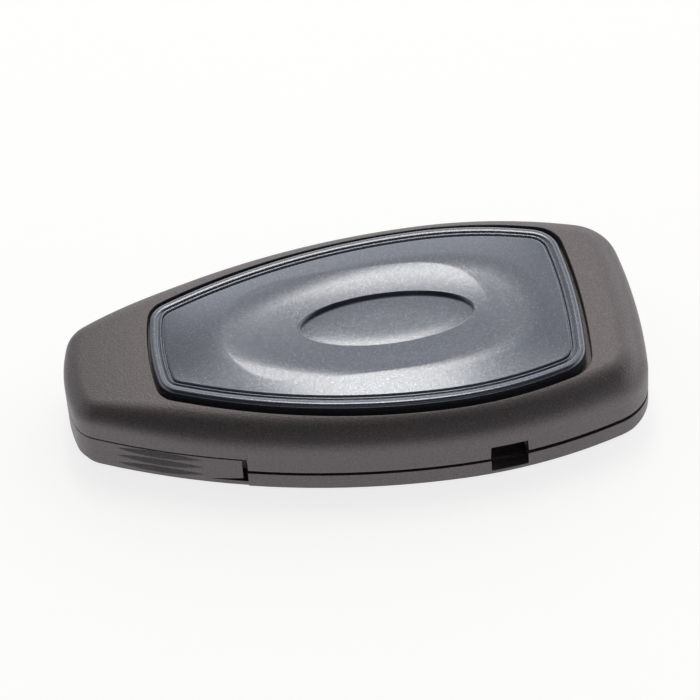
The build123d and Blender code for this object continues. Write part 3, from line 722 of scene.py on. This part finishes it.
def grained_plastic(name, base, light, rough, grain, height):
    """Matt moulded plastic: fine spark-eroded grain in height, colour and gloss.

    base and light are the colours of its pits and peaks. grain is the size of a grain in
    millimetres, height its depth in micrometres.
    """
    material, tree, shader = new_material(name)
    where = node(tree, "ShaderNodeTexCoord").outputs["Object"]
    fine = node(tree, "ShaderNodeTexNoise", {
        "Vector": where, "Scale": PER_METRE / grain, "Detail": 3.0, "Roughness": 0.65,
    }).outputs["Fac"]
    cells = node(tree, "ShaderNodeTexVoronoi", {
        "Vector": where, "Scale": PER_METRE / (grain * CELL), "Randomness": 1.0,
    }, feature="F1").outputs["Distance"]
    broad = node(tree, "ShaderNodeTexNoise", {
        "Vector": where, "Scale": 120.0, "Detail": 4.0,
    }).outputs["Fac"]
    colour = ramp(tree, fine, ((0.4, base), (0.68, light)))
    tint = node(tree, "ShaderNodeMix", {
        "Factor": broad, "A": (0.93, 0.93, 0.94, 1), "B": (1.07, 1.06, 1.05, 1),
    }, data_type="RGBA")
    mixed = node(tree, "ShaderNodeMix", {
        "Factor": 1.0, "A": colour, "B": tint.outputs["Result"],
    }, data_type="RGBA", blend_type="MULTIPLY")
    tree.links.new(mixed.outputs["Result"], shader.inputs["Base Color"])
    gloss = node(tree, "ShaderNodeMapRange", {
        "Value": fine, "From Min": 0.3, "From Max": 0.7,
        "To Min": rough + 0.06, "To Max": rough - 0.06,
    })
    tree.links.new(gloss.outputs["Result"], shader.inputs["Roughness"])
    relief = node(tree, "ShaderNodeMath", {0: fine, 1: cells}, operation="ADD")
    bump = node(tree, "ShaderNodeBump", {
        "Strength": 0.8, "Distance": height * MICRO, "Height": relief.outputs["Value"],
    })
    tree.links.new(bump.outputs["Normal"], shader.inputs["Normal"])
    shader.inputs["IOR"].default_value = 1.6
    shader.inputs["Specular Tint"].default_value = (1.0, 0.92, 0.96, 1)
    shader.inputs["Specular IOR Level"].default_value = 1.0
    return material


def pearl_gloss(name):
    """Blue-grey pearl lacquer: fine flakes that tilt and tint a satin layer, under a clear coat."""
    material, tree, shader = new_material(name)
    where = node(tree, "ShaderNodeTexCoord").outputs["Object"]
    flakes = node(tree, "ShaderNodeTexVoronoi", {
        "Vector": where, "Scale": PER_METRE / FLAKE, "Randomness": 1.0,
    }, feature="F1")
    tone = node(tree, "ShaderNodeSeparateColor", {"Color": flakes.outputs["Color"]})
    colour = ramp(tree, tone.outputs["Red"], (
        (0.0, (0.086, 0.095, 0.122)), (0.6, (0.102, 0.112, 0.143)),
        (0.9, (0.122, 0.136, 0.18)), (1.0, (0.17, 0.195, 0.28)),
    ))
    tree.links.new(colour, shader.inputs["Base Color"])
    tilt = node(tree, "ShaderNodeBump", {
        "Strength": 0.4, "Distance": 4 * MICRO, "Height": tone.outputs["Green"],
    })
    tree.links.new(tilt.outputs["Normal"], shader.inputs["Normal"])
    shader.inputs["Metallic"].default_value = 0.7
    shader.inputs["Roughness"].default_value = 0.23
    shader.inputs["Coat Weight"].default_value = 0.7
    shader.inputs["Coat Roughness"].default_value = 0.14
    return material


def plain_gloss(name, colour, rough):
    """Gloss moulding with a faint ripple and fine dust-dull variation."""
    material, tree, shader = new_material(name)
    where = node(tree, "ShaderNodeTexCoord").outputs["Object"]
    wave = node(tree, "ShaderNodeTexNoise", {
        "Vector": where, "Scale": 300.0, "Detail": 4.0,
    }).outputs["Fac"]
    gloss = node(tree, "ShaderNodeMapRange", {
        "Value": wave, "From Min": 0.3, "From Max": 0.7, "To Min": rough, "To Max": rough * 1.5,
    })
    tree.links.new(gloss.outputs["Result"], shader.inputs["Roughness"])
    tone = ramp(tree, wave, ((0.3, colour), (0.75, tuple(1.25 * c for c in colour))))
    tree.links.new(tone, shader.inputs["Base Color"])
    bump = node(tree, "ShaderNodeBump", {"Strength": 0.3, "Distance": 8 * MICRO, "Height": wave})
    tree.links.new(bump.outputs["Normal"], shader.inputs["Normal"])
    return material


def metal(name, colour, rough, stretch):
    """Drawn or ground metal: fine lines in gloss and height, longest where stretch is least."""
    material, tree, shader = new_material(name)
    where = node(tree, "ShaderNodeTexCoord").outputs["Object"]
    turned = node(tree, "ShaderNodeMapping", {"Vector": where, "Scale": stretch})
    lines = node(tree, "ShaderNodeTexNoise", {
        "Vector": turned.outputs["Vector"], "Scale": 2500.0, "Detail": 3.0,
    }).outputs["Fac"]
    gloss = node(tree, "ShaderNodeMapRange", {
        "Value": lines, "From Min": 0.3, "From Max": 0.7, "To Min": rough, "To Max": rough + 0.12,
    })
    tree.links.new(gloss.outputs["Result"], shader.inputs["Roughness"])
    tone = ramp(tree, lines, ((0.3, tuple(0.85 * c for c in colour)), (0.7, colour)))
    tree.links.new(tone, shader.inputs["Base Color"])
    bump = node(tree, "ShaderNodeBump", {"Strength": 0.4, "Distance": 4 * MICRO, "Height": lines})
    tree.links.new(bump.outputs["Normal"], shader.inputs["Normal"])
    shader.inputs["Metallic"].default_value = 1.0
    return material


case_material = grained_plastic(
    "moulded_case_grain", (0.003, 0.002, 0.0025), (0.085, 0.074, 0.079),
    rough=0.46, grain=0.17, height=24,
)
panel_material = pearl_gloss("blue_grey_pearl")
insert_material = plain_gloss("gloss_black", (0.012, 0.012, 0.013), 0.12)
button_material = grained_plastic(
    "satin_button", (0.03, 0.03, 0.031), (0.045, 0.045, 0.046),
    rough=0.45, grain=0.1, height=4,
)
board_material = plain_gloss("solder_mask", (0.02, 0.14, 0.05), 0.3)
switch_material = metal("switch_plate", (0.62, 0.62, 0.6), 0.3, (1, 1, 1))
cell_material = metal("cell_can", (0.72, 0.72, 0.72), 0.25, (1, 6, 1))
spring_material = metal("spring_strip", (0.6, 0.6, 0.58), 0.25, (0.2, 1, 1))
chip_material = plain_gloss("chip_black", (0.02, 0.02, 0.022), 0.5)
ferrite_material = plain_gloss("dark_ferrite", (0.06, 0.055, 0.05), 0.6)
ceramic_material = plain_gloss("tan_ceramic", (0.45, 0.36, 0.24), 0.4)
key_material = metal("milled_key", (0.7, 0.7, 0.68), 0.25, (0.15, 1, 1))
head_material = grained_plastic(
    "key_head", (0.028, 0.028, 0.03), (0.045, 0.045, 0.046),
    rough=0.5, grain=0.14, height=8,
)

slot_materials = {
    "case_plastic": case_material, "gloss_panel": panel_material, "gloss_insert": insert_material,
    "button_plastic": button_material, "board": board_material, "switch_metal": switch_material,
    "cell_steel": cell_material, "spring_steel": spring_material, "chip_plastic": chip_material,
    "ferrite": ferrite_material, "ceramic": ceramic_material, "key_steel": key_material,
    "head_plastic": head_material,
}
node_slots = {s["node"]: s["material_slot"] for s in frame["record"]["subparts"]}
node_bodies = {
    n: body for body, nodes in frame["record"]["behaviour"]["bodies"].items() for n in nodes
}
for name, slot in node_slots.items():
    obj = frame["nodes"][name]
    obj.data.materials.clear()
    obj.data.materials.append(slot_materials[slot])


def dress(piece, stands_for):
    """Puts a piece in the place of a CAD node, with that node's body and finish."""
    slot = node_slots[stands_for]
    piece.data.materials.clear()
    piece.data.materials.append(slot_materials[slot])
    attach(piece, node_bodies[stands_for])
    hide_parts(stands_for)


dress(mesh_piece("cover_shell", [tube(cover_stations())], sharp=40), "cover")
dress(mesh_piece("crowned_panel", [fanned(panel_stations())], sharp=50), "cover_panel")

for label, side in (("near", -1), ("far", 1)):
    shells = [capped(arm_strip()), tube(pin_eye()), capped(eye_web()), capped(catch_nose())]
    shells = [(points * (1, side, 1), faces) for points, faces in shells]
    dress(mesh_piece("ribbed_arm_" + label, shells, sharp=35), "release_arm_" + label)

# Width of the rounded edges of the pieces that keep their CAD form
SOFT_EDGES = {
    "lower_shell": 0.1, "inner_housing": 0.1, "button_insert": 0.08, "lock_button": 0.12,
    "boot_button": 0.12, "unlock_button": 0.12, "key_blade": 0.08, "blade_head": 0.2,
}
for name, width in SOFT_EDGES.items():
    dress(softened("soft_edged_" + name, name, width), name)

# Floor, room and lights, in metres, watts and degrees. The room's three spans are where it
# turns dark towards DARK_SIDE, brightens from the left, and dims from low to high.
FLOOR_HALF = 3.0
FLOOR_DROP = 2e-5
FLOOR_WHITE = 0.86
FLOOR_SHADE = 0.32
FLOOR_GLOW = 0.78
FLOOR_MIRRORED = 0.95
FLOOR_FAR = 0.1
FLOOR_REACH = (0.045, 0.12)
ROOM_DARK = 0.06
ROOM_BRIGHT = 0.8
ROOM_LEFT = 0.5
ROOM_LOW = 2.1
DARK_SIDE = (0.0, -0.68, 0.73)
DARK_SPAN = (0.25, 0.7)
LEFT_SPAN = (-0.45, 0.0)
LOW_SPAN = (0.42, 0.7)
WARM = (1.0, 0.95, 0.82)

# Width of the picture in pixels and of the camera's sensor in millimetres
PIXELS = 700
SENSOR = 36.0


def floor_material():
    """White floor. The camera and reflections see it mostly glowing, with a light shadow kept.

    What reflections see dims from FLOOR_MIRRORED to FLOOR_FAR over FLOOR_REACH, the distances
    from the middle.
    """
    material, tree, shader = new_material("white_table")
    shader.inputs["Roughness"].default_value = 0.9
    path = node(tree, "ShaderNodeLightPath")
    shown = node(tree, "ShaderNodeMath", {
        0: path.outputs["Is Camera Ray"], 1: path.outputs["Is Glossy Ray"],
    }, operation="MAXIMUM")
    white, shade = [(grey, grey, grey, 1) for grey in (FLOOR_WHITE, FLOOR_SHADE)]
    tone = node(tree, "ShaderNodeMix", {
        "Factor": shown.outputs["Value"], "A": white, "B": shade,
    }, data_type="RGBA")
    tree.links.new(tone.outputs["Result"], shader.inputs["Base Color"])
    where = node(tree, "ShaderNodeTexCoord").outputs["Object"]
    away = node(tree, "ShaderNodeVectorMath", {0: where}, operation="LENGTH")
    mirrored = node(tree, "ShaderNodeMapRange", {
        "Value": away.outputs["Value"], "From Min": FLOOR_REACH[0], "From Max": FLOOR_REACH[1],
        "To Min": FLOOR_MIRRORED, "To Max": FLOOR_FAR,
    }, interpolation_type="SMOOTHSTEP")
    seen = node(tree, "ShaderNodeMix", {
        "Factor": path.outputs["Is Glossy Ray"], "A": FLOOR_GLOW, "B": mirrored.outputs["Result"],
    }, data_type="FLOAT")
    seen = node(tree, "ShaderNodeMath", {
        0: shown.outputs["Value"], 1: seen.outputs["Result"],
    }, operation="MULTIPLY")
    tree.links.new(seen.outputs["Value"], shader.inputs["Emission Strength"])
    shader.inputs["Emission Color"].default_value = (1, 1, 1, 1)
    return material


floor_mesh = bpy.data.meshes.new("table_top")
corner_points = [
    (x * FLOOR_HALF, y * FLOOR_HALF, -FLOOR_DROP)
    for x, y in ((-1, -1), (1, -1), (1, 1), (-1, 1))
]
floor_mesh.from_pydata(corner_points, [], [(0, 1, 2, 3)])
floor_mesh.materials.append(floor_material())
table_top = bpy.data.objects.new("table_top", floor_mesh)
bpy.context.scene.collection.objects.link(table_top)


def soft_room():
    """White room: dark on the camera's side, dimmer to the left, brighter low down.

    Its strength is the product of three smooth steps. The camera itself sees plain white.
    """
    world = bpy.data.worlds.new("soft_room")
    bpy.context.scene.world = world
    world.use_nodes = True
    tree = world.node_tree
    background = tree.nodes["Background"]
    direction = node(tree, "ShaderNodeTexCoord").outputs["Generated"]
    part = node(tree, "ShaderNodeSeparateXYZ", {"Vector": direction})
    above = node(tree, "ShaderNodeVectorMath", {0: direction, 1: DARK_SIDE}, operation="DOT_PRODUCT")
    strength = None
    for value, (low, high), at_low, at_high in (
        (above.outputs["Value"], DARK_SPAN, ROOM_BRIGHT, ROOM_DARK),
        (part.outputs["X"], LEFT_SPAN, ROOM_LEFT, 1.0),
        (part.outputs["Z"], LOW_SPAN, ROOM_LOW, 1.0),
    ):
        share = node(tree, "ShaderNodeMapRange", {
            "Value": value, "From Min": low, "From Max": high, "To Min": at_low, "To Max": at_high,
        }, interpolation_type="SMOOTHSTEP").outputs["Result"]
        if strength is None:
            strength = share
        else:
            product = node(tree, "ShaderNodeMath", {0: strength, 1: share}, operation="MULTIPLY")
            strength = product.outputs["Value"]
    path = node(tree, "ShaderNodeLightPath")
    seen = node(tree, "ShaderNodeMix", {
        "Factor": path.outputs["Is Camera Ray"], "A": strength, "B": 1.0,
    }, data_type="FLOAT")
    tree.links.new(seen.outputs["Result"], background.inputs["Strength"])
    background.inputs["Color"].default_value = (1, 1, 1, 1)


soft_room()


def soft_light(name, azimuth, elevation, distance, size, power, tint=(1, 1, 1)):
    """Rectangular soft light aimed at the origin. Its azimuth runs from +Y towards +X."""
    data = bpy.data.lights.new(name, "AREA")
    data.shape = "RECTANGLE"
    data.size, data.size_y = size
    data.energy = power
    data.color = tint
    obj = bpy.data.objects.new(name, data)
    bpy.context.scene.collection.objects.link(obj)
    a, e = radians(azimuth), radians(elevation)
    place = Vector((sin(a) * cos(e), cos(a) * cos(e), sin(e))) * distance
    obj.location = place
    obj.rotation_euler = (-place).to_track_quat("-Z", "Y").to_euler()


soft_light(
    "far_soft_box", azimuth=5.0, elevation=60.0, distance=0.5, size=(0.08, 0.21), power=0.42,
    tint=WARM,
)
soft_light(
    "near_fill", azimuth=180.0, elevation=38.0, distance=0.6, size=(0.5, 0.16), power=0.1,
)


def add_camera():
    """Camera at the photograph's angle, from a fit of edges picked in it.

    The distance is in millimetres, the scale in pixels for a millimetre, the shift in
    pixels. The lens follows from them: scale times distance over the picture's pixels, times
    the sensor's width.
    """
    azimuth, elevation, roll = radians(-4.5946), radians(43.4165), radians(-4.3887)
    distance, scale, shift_x, shift_y = 450.0, 7.7383, 4.678, -6.2245
    aim = np.array([0.25, 0, 5])
    back = np.array([sin(azimuth) * cos(elevation), -cos(azimuth) * cos(elevation), sin(elevation)])
    right = np.array([cos(azimuth), sin(azimuth), 0.0])
    up = np.cross(back, right)
    right, up = cos(roll) * right + sin(roll) * up, -sin(roll) * right + cos(roll) * up
    eye = aim + distance * back - shift_x / scale * right - shift_y / scale * up
    data = bpy.data.cameras.new("photo_view")
    data.sensor_width = SENSOR
    data.lens = scale * distance / PIXELS * SENSOR
    data.clip_start = 0.01
    data.clip_end = 20.0
    obj = bpy.data.objects.new("photo_view", data)
    bpy.context.scene.collection.objects.link(obj)
    turn = Matrix((right, up, back)).transposed().to_4x4()
    obj.matrix_world = Matrix.Translation(eye * MM) @ turn
    bpy.context.scene.camera = obj


add_camera()
bpy.context.scene.view_settings.view_transform = "Standard"
